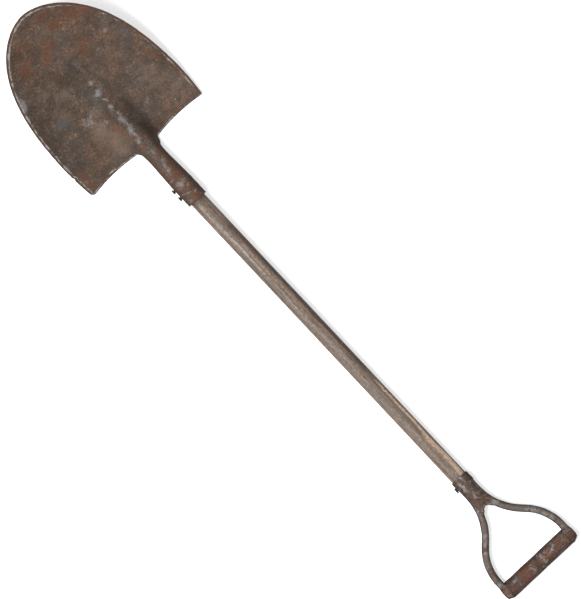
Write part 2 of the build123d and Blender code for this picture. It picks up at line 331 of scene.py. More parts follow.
def makeWornMetal():
    # bare, rubbed metal: patches with ragged edges, more of them where Rub is high
    tree, given, made = newGroup("wornMetal", [
        ("Vector", "vector", None), ("Scale", "value", 120.0), ("Rub", "value", 0.0),
        ("Threshold", "value", 0.6), ("Softness", "value", 0.03),
    ], [("Mask", "value")])
    ragged = cloud(tree, given["Vector"], given["Scale"], 5, 0.62, 0.6)
    level = calc(tree, "ADD", ragged, given["Rub"])
    low = calc(tree, "SUBTRACT", given["Threshold"], given["Softness"])
    high = calc(tree, "ADD", given["Threshold"], given["Softness"])
    plug(tree, made["Mask"], between(tree, level, low, high))
    return tree


def makeScratches():
    # thin curved scratches, broken into short lengths
    tree, given, made = newGroup("scratches", [
        ("Vector", "vector", None), ("Scale", "value", 20.0),
        ("Width", "value", 0.006), ("Amount", "value", 0.5),
    ], [("Mask", "value")])
    bent = cloud(tree, given["Vector"], given["Scale"], 1, 0.4, 0.4)
    line = between(tree, apart(tree, bent, 0.5), given["Width"], 0.0)
    lengths = cloud(tree, given["Vector"], times(tree, given["Scale"], 2.7), 2, 0.5)
    broken = times(tree, line, between(tree, lengths, 0.56, 0.64))
    plug(tree, made["Mask"], times(tree, broken, given["Amount"]))
    return tree


rustCoat = makeRustCoat()
wornMetal = makeWornMetal()
scratches = makeScratches()


def newMaterial(name):
    material = bpy.data.materials.new(name)
    material.use_nodes = True
    tree = material.node_tree
    shader = tree.nodes["Principled BSDF"]
    # coordinates on the tool's own line, from the piece's object coordinates
    ownPlace = tree.nodes.new("ShaderNodeMapping")
    ownPlace.vector_type = "TEXTURE"
    tree.links.new(tree.nodes.new("ShaderNodeTexCoord").outputs["Object"], ownPlace.inputs["Vector"])
    ownPlace.inputs["Location"].default_value = mouthPoint
    ownPlace.inputs["Rotation"].default_value = (tip, 0, 0)
    return material, tree, shader, ownPlace.outputs["Vector"]


def readPaint(tree, name):
    node = tree.nodes.new("ShaderNodeAttribute")
    node.attribute_name = name
    return node.outputs["Fac"]


def bump(tree, shader, height, strength, distance):
    node = tree.nodes.new("ShaderNodeBump")
    node.inputs["Strength"].default_value = strength
    node.inputs["Distance"].default_value = distance
    plug(tree, node.inputs["Height"], height)
    plug(tree, shader.inputs["Normal"], node.outputs["Normal"])


def rustySteel(name, look, rub=None, marks=None):
    # every steel piece has the same coat and wear, with its own values, and painted shade on its sideways
    # faces; marks adds a piece's own stains, and on the blade some painted shade
    material, tree, shader, vector = newMaterial(name)
    coat = place(tree, rustCoat, {"Vector": vector, **look["coat"]})
    worn = look["worn"]
    rubbed = times(tree, readPaint(tree, "edge"), worn["edgeRub"])
    if rub is not None:
        rubbed = calc(tree, "ADD", rubbed, rub(tree, vector))
    bare = place(tree, wornMetal, {
        "Vector": vector, "Scale": worn["scale"], "Rub": rubbed,
        "Threshold": worn["threshold"], "Softness": worn["softness"],
    })["Mask"]
    lines = place(tree, scratches, {
        "Vector": vector, "Scale": worn["scratchScale"],
        "Width": worn["scratchWidth"], "Amount": worn["scratchAmount"],
    })["Mask"]
    bare = calc(tree, "MAXIMUM", times(tree, bare, worn["strength"]), lines)
    tint = cloud(tree, vector, worn["scale"] * 3, 3, 0.6)
    bareColour = blend(tree, between(tree, tint, 0.35, 0.65), worn["darkBare"], worn["paleBare"])
    colour = blend(tree, bare, coat["Color"], bareColour)
    if marks is not None:
        colour = marks(tree, vector, colour)
    # painted shade: the colour is darkened, by up to sideShade, where the surface faces sideways
    sides = calc(tree, "MULTIPLY_ADD", readPaint(tree, "side"), -look["sideShade"], 1.0)
    plug(tree, shader.inputs["Base Color"], blend(tree, 1.0, colour, sides, "MULTIPLY"))
    gloss = calc(tree, "MULTIPLY_ADD", bare, -worn["polish"], coat["Roughness"])
    plug(tree, shader.inputs["Roughness"], gloss)
    plug(tree, shader.inputs["Metallic"], times(tree, bare, worn["metal"]))
    shader.inputs["Specular IOR Level"].default_value = look["sheen"]
    height = calc(tree, "MULTIPLY_ADD", bare, -0.15, coat["Height"])      # bare metal lies a little lower
    bump(tree, shader, height, look["bumpStrength"], look["bumpDepth"])
    return material


blade = {
    "width": 224.4 * mm, "reach": 260.0 * mm, "lift": 95.0 * mm, "liftPower": 2.1, "plateDrop": 19.0 * mm,
    "sheet": 2.0 * mm, "nosePower": 3.2, "noseBluntness": 0.56,
    "shoulderDraw": 4.0 * mm, "shoulderStart": 0.75,
    "dishAtStep": 9.0 * mm, "dishAtMiddle": 17.0 * mm, "stepHollow": 3.6 * mm, "cornerRadius": 1.8 * mm,
    "leftFillet": 8.0 * mm, "rightFillet": 2.5 * mm,
    "leftFlare": -8.0 * mm, "rightFlare": -6.5 * mm, "flareLength": 16.0 * mm,
    "ridgeReach": 124.0 * mm, "ridgeEndRadius": 4.0 * mm, "ridgeSink": 6.0 * mm,
    "ridgeLap": 0.4 * mm, "lapStart": 78.0 * mm, "lapLength": 18.0 * mm,
    "flankAtNeck": 4.0, "flankAtEnd": 0.45, "flankFall": 5.0, "softAtNeck": 9.0 * mm, "softAtEnd": 4.0 * mm,
    "socketLength": 106.5 * mm, "socketStraight": 36.0 * mm, "socketRadius": 16.35 * mm,
    "neckRadius": 14.4 * mm, "neckStation": 88.0 * mm, "socketWall": 2.2 * mm, "seamGap": 1.6 * mm,
    "rollStart": 82.0 * mm, "rollEnd": 111.0 * mm,         # the open ridge rolls into the socket here
    "rightRoll": -3.0 * mm, "rightRollSide": 20.0 * mm,    # and on the right, this much nearer the mouth
    "rimBevel": 3.7 * mm, "rimDrop": 0.55 * mm, "edgeRound": 0.45 * mm,
    "rimStart": 4.0 * mm, "edgeRows": (0.28, 0.72), "wallBlend": 30.0 * mm,
    "stepBead": 0.5 * mm, "beadInset": 1.4 * mm, "beadWidth": 1.1 * mm,
    "spacing": 1.5 * mm, "rimSpacing": 1.3 * mm, "insets": [0.9, 1.9, 2.9, 3.7, 4.6, 5.8],
    "warp": 0.7 * mm, "warpSize": 62.0 * mm, "dents": 0.14 * mm, "dentSize": 13.0 * mm,
    "rimWobble": 0.35 * mm, "wobbleSizes": (9.0 * mm, 3.2 * mm),
    "nickStation": 37.0 * mm, "nickDepth": 1.5 * mm, "nickWidth": 1.6 * mm,
}
stepY = blade["socketLength"]
pointY = stepY + blade["reach"]

# marks on the front: across, along the tool, half length, half width (mm), turn (degrees), strength
bladeSpots = {
    "worn": [
        (2, 228, 5, 3.5, 60, 1.1), (-1, 211, 8, 5.5, 20, 1.2), (2, 197, 5, 3.5, 110, 1.0),
        (-1, 184, 7, 4, 80, 1.0), (2, 170, 6, 3.0, 70, 1.0), (0, 159, 9, 5.5, 100, 1.15),
        (-1, 141, 8, 5.5, 70, 1.15), (-1, 131, 5, 3.0, 90, 0.9), (-4, 120, 6, 4.0, 60, 0.95),
        (-6, 111, 5, 2.6, 90, 0.9), (-40, 188, 15, 8.0, 130, 0.8), (-30, 194, 9, 5.0, 60, 0.7),
        (-22, 172, 10, 6, 40, 0.55), (-66, 188, 4.5, 1.0, 75, 1.3), (-91, 271, 11, 5.0, 65, 1.7),
        (-100, 248, 12, 2.6, 75, 0.9), (72, 270, 5, 2, 20, 0.9), (0, 92, 14, 6.5, 90, 0.8),
        (3, 76, 8, 5.0, 60, 0.8), (0, 66, 4, 3.0, 90, 1.0), (-2, 58, 10, 6.0, 60, 0.85),
        (-2, 33, 11, 7.0, 20, 1.15), (-9, 44, 5, 2, 10, 0.9), (-5, 17, 9, 1.2, -18, 1.4),
        (-8, 4, 5, 3.0, 60, 0.9), (8, 12, 5, 3, 40, 0.8), (75, 128, 1.8, 1.5, 0, 1.3),
        (45, 154, 6, 4, 30, 0.7), (6, 27, 5, 3, 100, 0.8), (-12, 95, 3, 8, 0, 0.6),
    ],
    "rusty": [
        (22, 326, 17, 12, 0, 0.75), (57, 319, 30, 12, -35, 0.7), (-14, 302, 30, 11, 35, 0.75),
        (-36, 333, 14, 9, 0, 0.7), (-50, 308, 26, 16, 60, 0.7), (30, 272, 26, 12, 60, 0.6),
        (96, 201, 22, 7, 105, 0.6), (105, 163, 20, 6, 95, 0.6), (-100, 130, 9, 26, 0, 0.6),
        (-14, 152, 6, 18, 10, 0.7), (-18, 178, 6, 5, 0, 0.7), (7, 196, 5, 14, 0, 0.75),
        (10, 172, 4, 12, 0, 0.6), (-6, 108, 5, 9, 0, 0.8), (9, 84, 4, 20, 0, 0.75),
        (-11, 72, 3, 16, 0, 0.7), (0, 6, 14, 5, 0, 0.7), (8, 50, 5, 14, 0, 0.7), (-45, 296, 9, 7, 0, 0.6),
        (25, 345, 22, 7, -20, 0.6), (-20, 270, 16, 9, 30, 0.5),
    ],
    "stainedAndShaded": [
        (-96, 205, 44, 17, 90, 0.95), (-88, 245, 30, 14, 80, 0.8), (-93, 150, 24, 22, 0, 0.7),
        (-100, 118, 18, 10, 0, 0.5), (-64, 283, 14, 12, 0, 0.6), (-6, 251, 30, 12, 0, 0.6),
        # painted shade: the next three dark spots, 15 to 22 mm right of the crest, darken the ridge's shaded
        # right flank; the other spots here are stains
        (22, 165, 40, 9, 92, 0.7), (15, 205, 26, 7, 82, 0.75), (16, 130, 18, 9, 90, 0.7),
        (60, 317, 14, 6, 150, 0.4), (48, 320, 16, 5, 150, 0.4), (-60, 165, 14, 20, 0, 0.45),
        (20, 235, 20, 8, 20, 0.4), (10, 350, 30, 5, -10, 0.5), (12, 75, 30, 3, 90, 0.5),
    ],
    "greyed": [
        (90, 252, 14, 8, 110, 0.8), (23, 306, 12, 7, 0, 0.6), (-68, 214, 15, 11, 0, 0.9),
        (-75, 180, 10, 10, 0, 0.5), (44, 156, 8, 6, 0, 0.6), (88, 208, 16, 9, 100, 0.4),
        (-12, 207, 12, 8, 0, 0.6), (-2, 86, 8, 22, 0, 0.7), (28, 282, 9, 6, 0, 0.5),
    ],
    "paler": [
        (6, 330, 16, 10, 0, 0.7), (-57, 261, 20, 12, 45, 0.5), (-38, 243, 18, 10, 0, 0.7),
        (72, 270, 18, 9, 60, 0.6), (74, 176, 30, 18, 90, 0.7), (88, 140, 24, 16, 0, 0.5),
        (-27, 140, 30, 17, 90, 0.95), (-36, 170, 24, 16, 90, 0.85), (-22, 190, 14, 10, 0, 0.6),
        (0, 245, 12, 6, 0, 0.4), (35, 232, 18, 12, 0, 0.3), (0, 60, 12, 6, 90, 0.3),
        (60, 130, 20, 10, 0, 0.4), (-50, 128, 18, 9, 0, 0.5),
    ],
}


def halfWidth(y):
    share = np.clip((pointY - y) / blade["reach"], 0.0, 1.0)
    nose = (1 - (1 - share) ** blade["nosePower"]) ** blade["noseBluntness"]
    nearStep = np.maximum(0.0, (share - blade["shoulderStart"]) / (1 - blade["shoulderStart"]))
    half = blade["width"] / 2 + blade["shoulderDraw"] * 0.2
    return half * nose - blade["shoulderDraw"] * nearStep ** 2


def plateHeight(x, y):
    share = np.maximum((y - stepY) / blade["reach"], 0.0)
    sag = blade["dishAtStep"] + (blade["dishAtMiddle"] - blade["dishAtStep"]) * eased(share / 0.5)
    bowl = sag * (2 * x / blade["width"]) ** 2
    return blade["lift"] * share ** blade["liftPower"] - blade["plateDrop"] + bowl


def frontHeight(x, y):
    # plate and pressed ridge, joined by a soft hollow corner
    plate = plateHeight(x, y)
    share = np.maximum((y - stepY) / blade["ridgeReach"], 0.0)
    crestStart = blade["neckRadius"] + blade["ridgeLap"]
    run = eased(share)
    crest = plateHeight(0.0, y) + (crestStart + blade["plateDrop"]) * (1 - run)
    crest = crest - blade["ridgeSink"] * share ** 2
    radius = crestStart + (blade["ridgeEndRadius"] - crestStart) * run
    fallen = np.maximum(1 - share, 0.0) ** blade["flankFall"]
    flank = blade["flankAtEnd"] + (blade["flankAtNeck"] - blade["flankAtEnd"]) * fallen
    lean = np.arctan(flank)
    edge = radius * np.sin(lean)
    dome = crest - radius + np.sqrt(np.maximum(radius ** 2 - np.minimum(np.abs(x), edge) ** 2, 0.0))
    slope = crest - radius * (1 - np.cos(lean)) - flank * (np.abs(x) - edge)
    soft = blade["softAtNeck"] + (blade["softAtEnd"] - blade["softAtNeck"]) * run
    lifted = soft ** 2 / (4 * (crestStart + blade["plateDrop"])) * (1 - run)
    rise = np.where(np.abs(x) < edge, dome, slope) - plate
    return plate + (rise + np.hypot(rise, soft)) / 2 - lifted


# widths laid flat: how far each point is from the middle, measured along the curved sheet
flatGrid = {
    "along": 1.0 * mm, "across": 0.25 * mm, "halfWidth": 130.0 * mm, "before": 2.0 * mm, "past": 6.0 * mm,
}
flatStations = np.arange(stepY - flatGrid["before"], pointY + flatGrid["past"], flatGrid["along"])
flatAcross = np.arange(0.0, flatGrid["halfWidth"], flatGrid["across"])
flatHeights = frontHeight(flatAcross[None, :], flatStations[:, None])
flatSteps = np.hypot(np.diff(flatAcross)[None, :], np.diff(flatHeights, axis=1))
flatWidths = np.concatenate([np.zeros((len(flatStations), 1)), np.cumsum(flatSteps, axis=1)], axis=1)


def flatRow(y):
    station = np.clip((y - flatStations[0]) / flatGrid["along"], 0, len(flatStations) - 1.001)
    row = int(station)
    return flatWidths[row] * (1 - (station - row)) + flatWidths[row + 1] * (station - row)


def layFlat(x, y):
    return math.copysign(np.interp(abs(x), flatAcross, flatRow(y)), x)


def liftBack(u, y):
    return math.copysign(np.interp(abs(u), flatRow(y), flatAcross), u)


def socketOuter(y):
    taper = np.clip((y - blade["socketStraight"]) / (blade["neckStation"] - blade["socketStraight"]), 0, 1)
    lap = blade["ridgeLap"] * eased((y - blade["lapStart"]) / blade["lapLength"])
    return blade["socketRadius"] + (blade["neckRadius"] - blade["socketRadius"]) * taper + lap


def seamEdge(y):
    radius = socketOuter(y)
    return radius * (math.pi - np.arcsin(blade["seamGap"] / 2 / radius))


def onBlade(flat):
    # the sheet's front face for points (u, y) of the flat sheet
    u, y = flat[:, 0], flat[:, 1]
    x = np.array([liftBack(a, b) for a, b in flat])
    pressed = np.stack([x, y, frontHeight(x, y)], axis=1)
    radius = socketOuter(y)
    angle = u / radius
    rolled = np.stack([radius * np.sin(angle), y, radius * np.cos(angle)], axis=1)
    late = blade["rightRoll"] * eased(u / blade["rightRollSide"])
    roll = eased((blade["rollEnd"] + late - y) / (blade["rollEnd"] - blade["rollStart"]))[:, None]
    return pressed * (1 - roll) + rolled * roll


def curved(share, start, corner, end):
    # a smooth curve from start to end, drawn towards the corner
    return start * (1 - share) ** 2 + corner * 2 * share * (1 - share) + end * share ** 2


def bladeOutline(fillet, flare):
    # one half of the flat sheet's edge, from the seam at the mouth to the point
    cornerX = float(halfWidth(stepY))
    neckU = float(seamEdge(blade["neckStation"]))
    stepU = neckU + flare
    stepStartX = liftBack(stepU, stepY)

    def stepEdge(x):
        share = (x - stepStartX) / (cornerX - stepStartX)
        return stepY + 4 * blade["stepHollow"] * share * (1 - share)

    flareY = stepY - blade["flareLength"]
    path = [(float(seamEdge(y)), y) for y in np.linspace(0, flareY, 40)]
    # the corner at the neck is a smooth curve between the flared side and the step edge
    before = Vector((stepU - flare * fillet / blade["flareLength"], stepY - fillet))
    corner = Vector((stepU, stepY))
    after = Vector((stepU + fillet, stepEdge(liftBack(stepU + fillet, stepY))))
    path += [tuple(curved(share, before, corner, after)) for share in np.linspace(0, 1, 9)]
    soft = blade["cornerRadius"]
    for x in np.linspace(liftBack(stepU + fillet + 2 * mm, stepY), cornerX - soft, 40):
        path.append((layFlat(x, stepEdge(x)), stepEdge(x)))
    for share in np.linspace(0.15, 0.85, 5):
        x = curved(share, cornerX - soft, cornerX, float(halfWidth(stepY + soft)))
        y = curved(share, stepEdge(cornerX - soft), stepY, stepY + soft)
        path.append((layFlat(x, y), y))
    noseStart = math.degrees(math.acos(soft / blade["reach"]))
    for angle in np.linspace(noseStart, 0, 160):
        y = stepY + blade["reach"] * math.cos(math.radians(angle))
        path.append((layFlat(float(halfWidth(y)), y), y))
    return np.array(path)


def resampled(path, spacing):
    lengths = np.concatenate([[0], np.cumsum(np.hypot(*np.diff(path, axis=0).T))])
    even = np.linspace(0, lengths[-1], int(round(lengths[-1] / spacing)) + 1)
    return np.stack([np.interp(even, lengths, path[:, 0]), np.interp(even, lengths, path[:, 1])], axis=1)


def outwards(path):
    # unit directions out of the sheet, on the right of each step of the way round
    ahead = np.gradient(path, axis=0)
    ahead /= np.maximum(np.hypot(*ahead.T), 1e-12)[:, None]
    return np.stack([ahead[:, 1], -ahead[:, 0]], axis=1)


def insideLoop(points, loop):
    inside = np.zeros(len(points), bool)
    ends = np.roll(loop, -1, axis=0)
    for (ax, ay), (bx, by) in zip(loop, ends):
        crosses = (ay > points[:, 1]) != (by > points[:, 1])
        if ay != by:
            inside ^= crosses & (points[:, 0] < (bx - ax) * (points[:, 1] - ay) / (by - ay) + ax)
    return inside


def nearestOnLoop(loop, points):
    # for each point, which of the loop's points is nearest, and how far off it is
    tree = kdtree.KDTree(len(loop))
    for index, (u, y) in enumerate(loop):
        tree.insert((u, y, 0), index)
    tree.balance()
    found = [tree.find((u, y, 0)) for u, y in points]
    return np.array([f[1] for f in found]), np.array([f[2] for f in found])


def flatPoints():
    # points of the flat sheet: its edge, rows inside the edge, then an even triangular grid
    right = bladeOutline(blade["rightFillet"], blade["rightFlare"])
    left = bladeOutline(blade["leftFillet"], blade["leftFlare"])
    whole = np.concatenate([right, (left * (-1, 1))[::-1][1:]])
    edge = resampled(whole, blade["rimSpacing"])
    out = outwards(edge)
    coarse, fine = blade["wobbleSizes"]
    wobble = roughness([(u, y, 0.0) for u, y in edge], coarse, 2) * 0.6
    wobble += roughness([(u, y, 0.0) for u, y in edge], fine, 3) * 0.4
    onRim = (edge[:, 1] > stepY + blade["rimStart"]).astype(float)
    shift = wobble * blade["rimWobble"] * (0.35 + 0.65 * onRim)
    leftRim = (edge[:, 0] < 0) & (onRim > 0)
    nick = np.exp(-((edge[:, 1] - stepY - blade["nickStation"]) / blade["nickWidth"]) ** 2) * leftRim
    shift -= blade["nickDepth"] * nick
    shift[0] = shift[-1] = 0
    edge = edge + out * (shift - blade["edgeRound"])[:, None]
    mouth = np.linspace(edge[-1], edge[0], int(2 * abs(edge[0, 0]) / blade["rimSpacing"]) + 1)[1:-1]
    loop = np.concatenate([edge, mouth])
    loopOut = np.concatenate([out, np.tile([(0.0, -1.0)], (len(mouth), 1))])
    rows = []
    for inset in blade["insets"]:
        row = loop - loopOut * inset * mm
        clear = nearestOnLoop(loop, row)[1] > 0.93 * inset * mm
        rows.append(row[insideLoop(row, loop) & clear])
    spacing, wide = blade["spacing"], 140 * mm
    grid = []
    for j, y in enumerate(np.arange(0, pointY, spacing * math.sqrt(3) / 2)):
        offset = spacing / 2 * (j % 2)
        grid.extend((u, y) for u in np.arange(-wide + offset, wide, spacing))
    grid = np.array(grid)
    grid = grid[insideLoop(grid, loop)]
    grid = grid[nearestOnLoop(loop, grid)[1] > (blade["insets"][-1] + 0.95) * mm]
    return loop, loopOut, np.concatenate(rows + [grid])


def sheetFaces(flat, edgeCount):
    # triangles over all the flat points, each turned the same way round
    edges = [(i, (i + 1) % edgeCount) for i in range(edgeCount)]
    scaled = [Vector((u * 1000, y * 1000)) for u, y in flat]
    _, _, faces, origins, _, _ = geometry.delaunay_2d_cdt(scaled, edges, [list(range(edgeCount))], 1, 1e-5)
    first = np.array([o[0] for o in origins])
    faces = first[np.array([f for f in faces if len(f) == 3])]
    a, b, c = flat[faces[:, 0]], flat[faces[:, 1]], flat[faces[:, 2]]
    turned = (b[:, 0] - a[:, 0]) * (c[:, 1] - a[:, 1]) - (c[:, 0] - a[:, 0]) * (b[:, 1] - a[:, 1]) < 0
    faces[turned] = faces[turned][:, ::-1]
    return faces


def sheetNormals(points, faces):
    a, b, c = points[faces[:, 0]], points[faces[:, 1]], points[faces[:, 2]]
    across = np.cross(b - a, c - a)
    normals = np.zeros_like(points)
    for corner in range(3):
        for axis in range(3):
            normals[:, axis] += np.bincount(faces[:, corner], across[:, axis], len(points))
    return normals / np.maximum(np.linalg.norm(normals, axis=1), 1e-12)[:, None]


def spotField(points, spots):
    # how strong the marks are at each point, from oval spots
    field = np.zeros(len(points))
    for x, y, long, wide, turn, strength in spots:
        dx, dy = points[:, 0] - x * mm, points[:, 1] - y * mm
        cos, sin = math.cos(math.radians(turn)), math.sin(math.radians(turn))
        along, aside = dx * cos + dy * sin, dy * cos - dx * sin
        spot = strength * np.exp(-((along / (long * mm)) ** 2 + (aside / (wide * mm)) ** 2))
        field = np.maximum(field, spot)
    return field


def makeBlade():
    loop, loopOut, inner = flatPoints()
    flat = np.concatenate([loop, inner])
    count, edgeCount = len(flat), len(loop)
    faces = sheetFaces(flat, edgeCount)
    points = onBlade(flat)
    nearest, edgeGap = nearestOnLoop(loop, flat)
    rimShare = (loop[nearest][:, 1] > stepY + blade["rimStart"]).astype(float)
    stepShare = ((loop[nearest][:, 1] > stepY - blade["rimStart"]).astype(float)) * (1 - rimShare)

    normals = sheetNormals(points, faces)
    onPlate = eased((flat[:, 1] - stepY + 10 * mm) / (40 * mm))
    warp = roughness(points, blade["warpSize"], 5) * blade["warp"] * onPlate
    warp += roughness(points, blade["dentSize"], 6) * blade["dents"] * (0.35 + 0.65 * onPlate)
    bead = blade["stepBead"] * stepShare * np.exp(-((edgeGap - blade["beadInset"]) / blade["beadWidth"]) ** 2)
    points = points + normals * (warp + bead)[:, None]
    drop = blade["rimDrop"] * np.clip(1 - edgeGap / blade["rimBevel"], 0, 1) * rimShare
    towardsSocket = eased((stepY - flat[:, 1]) / blade["wallBlend"])
    wall = blade["sheet"] + (blade["socketWall"] - blade["sheet"]) * towardsSocket
    back = points - normals * wall[:, None]
    front = points - normals * drop[:, None]

    # the sheet's edge is a rounded strip of two more rows of points
    direction = onBlade(loop + loopOut * 0.3 * mm) - onBlade(loop)
    direction /= np.linalg.norm(direction, axis=1)[:, None]
    depth = front[:edgeCount] - back[:edgeCount]
    outer = front[:edgeCount] + direction * blade["edgeRound"]
    high, low = [outer - depth * share for share in blade["edgeRows"]]
    ring = np.arange(edgeCount)
    rows = [ring, 2 * count + ring, 2 * count + edgeCount + ring, count + ring]
    strips = []
    for upper, lower in zip(rows, rows[1:]):
        strips.extend(zip(upper, lower, np.roll(lower, -1), np.roll(upper, -1)))
    allFaces = [*faces, *(faces[:, ::-1] + count), *strips]
    piece = newObject("blade_forged", np.concatenate([front, back, high, low]), allFaces)

    none = np.zeros(edgeCount)
    shared = {"edgeGap": (edgeGap, none), "rimShare": (rimShare, rimShare[:edgeCount]),
              "stepShare": (stepShare, stepShare[:edgeCount])}
    for name, (onSheet, onEdge) in shared.items():
        paintPoints(piece, name, np.concatenate([onSheet, onSheet, onEdge, onEdge]))
    for kind, spots in bladeSpots.items():
        field = spotField(points, spots) * (normals[:, 2] > -0.2)      # marks lie on the front only
        paintPoints(piece, kind, np.concatenate([field, field * 0, none, none]))
    paintEdges(piece, 8, 0.35 * mm)
    piece.data.transform(toolPlace)
    paintSideShade(piece)
    # the painted side shade is kept on the socket only
    onTube = eased((stepY + 6 * mm - flat[:, 1]) / (16 * mm))
    sides = np.empty(len(piece.data.vertices), np.float32)
    piece.data.attributes["side"].data.foreach_get("value", sides)
    sides *= np.concatenate([onTube, onTube, none, none])
    piece.data.attributes["side"].data.foreach_set("value", sides)
    shadeSmooth(piece, 50)
    return piece


bladeLook = {
    "coat": {
        "Stain Scale": 26.0, "Speck Scale": 330.0, "Brown": paint(90, 73, 60), "Dark": paint(58, 46, 37),
        "Pale": paint(142, 128, 114), "Orange": paint(110, 68, 44), "Grey": paint(88, 84, 81),
        "Dark Amount": 0.35, "Pale Amount": 0.52, "Orange Amount": 0.35, "Grey Amount": 0.3, "Mottle": 0.95,
    },
    "worn": {
        "scale": 210.0, "threshold": 0.75, "softness": 0.13, "strength": 0.72, "edgeRub": 0.0,
        "polish": 0.2, "metal": 0.1, "scratchScale": 24.0, "scratchWidth": 0.004, "scratchAmount": 0.25,
        "darkBare": paint(118, 110, 106), "paleBare": paint(172, 170, 172),
    },
    "sheen": 0.18, "sideShade": 0.4, "bumpStrength": 0.8, "bumpDepth": 0.6 * mm, "spotRub": 0.36,
    # stains, and painted shade beside the ridge, in their places: which spots, colour, where the ragged edge
    # falls, strength
    "stainsAndShade": [
        ("stainedAndShaded", paint(60, 50, 41), 0.84, 0.75), ("greyed", paint(92, 93, 94), 0.84, 0.75),
        ("paler", paint(134, 112, 99), 0.82, 0.8), ("rusty", paint(118, 68, 40), 0.82, 0.9),
    ],
    "socketRust": paint(106, 68, 50), "rimRust": paint(96, 66, 50), "rimPale": paint(176, 176, 174),
    "rimBand": 2.4 * mm, "rimLine": 3.3 * mm, "rimLineWidth": 1.5 * mm,
    "stepLine": 1.3 * mm, "stepLineWidth": 1.1 * mm,
}


def bladeRub(tree, _):
    return times(tree, readPaint(tree, "worn"), bladeLook["spotRub"])


def raggedSpot(tree, name, ragged, limit):
    # a listed mark whose edge follows the ragged noise; the marks are stains, and some painted shade by the
    # ridge
    level = calc(tree, "MULTIPLY_ADD", readPaint(tree, name), 0.55, ragged)
    return between(tree, level, limit - 0.26, limit + 0.26)


def bladeMarks(tree, vector, colour):
    # stains and painted shade in their places, redder rust on the socket, then the rim's bevel and the lines
    # along the edges
    look = bladeLook
    where = axes(tree, vector)
    ragged = cloud(tree, moved(tree, vector, 0.4, 0.2, 0.3), 130.0, 5, 0.72)
    for name, tone, limit, strength in look["stainsAndShade"]:
        softTone = blend(tree, 0.75, colour, tone)
        colour = tinted(tree, colour, raggedSpot(tree, name, ragged, limit), strength, softTone)
    onSocket = between(tree, where["Y"], stepY + 22 * mm, stepY - 24 * mm)
    redder = times(tree, onSocket, between(tree, cloud(tree, vector, 75.0, 5, 0.68), 0.36, 0.62))
    colour = tinted(tree, colour, redder, 0.5, look["socketRust"])

    gap, rim, step = readPaint(tree, "edgeGap"), readPaint(tree, "rimShare"), readPaint(tree, "stepShare")
    wander = calc(tree, "SUBTRACT", cloud(tree, vector, 180.0, 4, 0.7), 0.5)
    near = calc(tree, "ADD", gap, times(tree, wander, 3.0 * mm))
    band = between(tree, near, look["rimBand"] + 0.5 * mm, look["rimBand"] - 0.4 * mm)
    colour = tinted(tree, colour, times(tree, band, rim), 0.7, look["rimRust"])

    present = cloud(tree, moved(tree, vector, 0.9, 0.1, 0.2), 34.0, 5, 0.75)
    chips = between(tree, cloud(tree, vector, 95.0, 5, 0.7), 0.38, 0.62)
    chipped = calc(tree, "MULTIPLY_ADD", chips, 1.1, 0.15)

    def paleLine(middle, width, share, low, high):
        # a line along an edge, missing where present is low and narrower where it is chipped
        reach = times(tree, times(tree, between(tree, present, low, high), chipped), width)
        away = calc(tree, "SUBTRACT", apart(tree, near, middle), reach)
        return times(tree, between(tree, away, 0.15 * mm, -0.55 * mm), share)

    leftSide = between(tree, where["X"], 72 * mm, 30 * mm)
    leftRim = times(tree, paleLine(look["rimLine"], look["rimLineWidth"], rim, 0.22, 0.55), leftSide)
    rightRim = paleLine(look["rimLine"], look["rimLineWidth"], rim, 0.42, 0.62)
    alongStep = paleLine(look["stepLine"], look["stepLineWidth"], step, 0.3, 0.6)
    lines = calc(tree, "MAXIMUM", calc(tree, "MAXIMUM", leftRim, rightRim), alongStep)
    uneven = calc(tree, "MULTIPLY_ADD", between(tree, ragged, 0.35, 0.65), 0.5, 0.45)
    return tinted(tree, colour, lines, uneven, look["rimPale"])


bladePiece = makeBlade()
hangOn(bladePiece, "blade_steel", rustySteel("rustedBlade", bladeLook, bladeRub, bladeMarks), "blade")


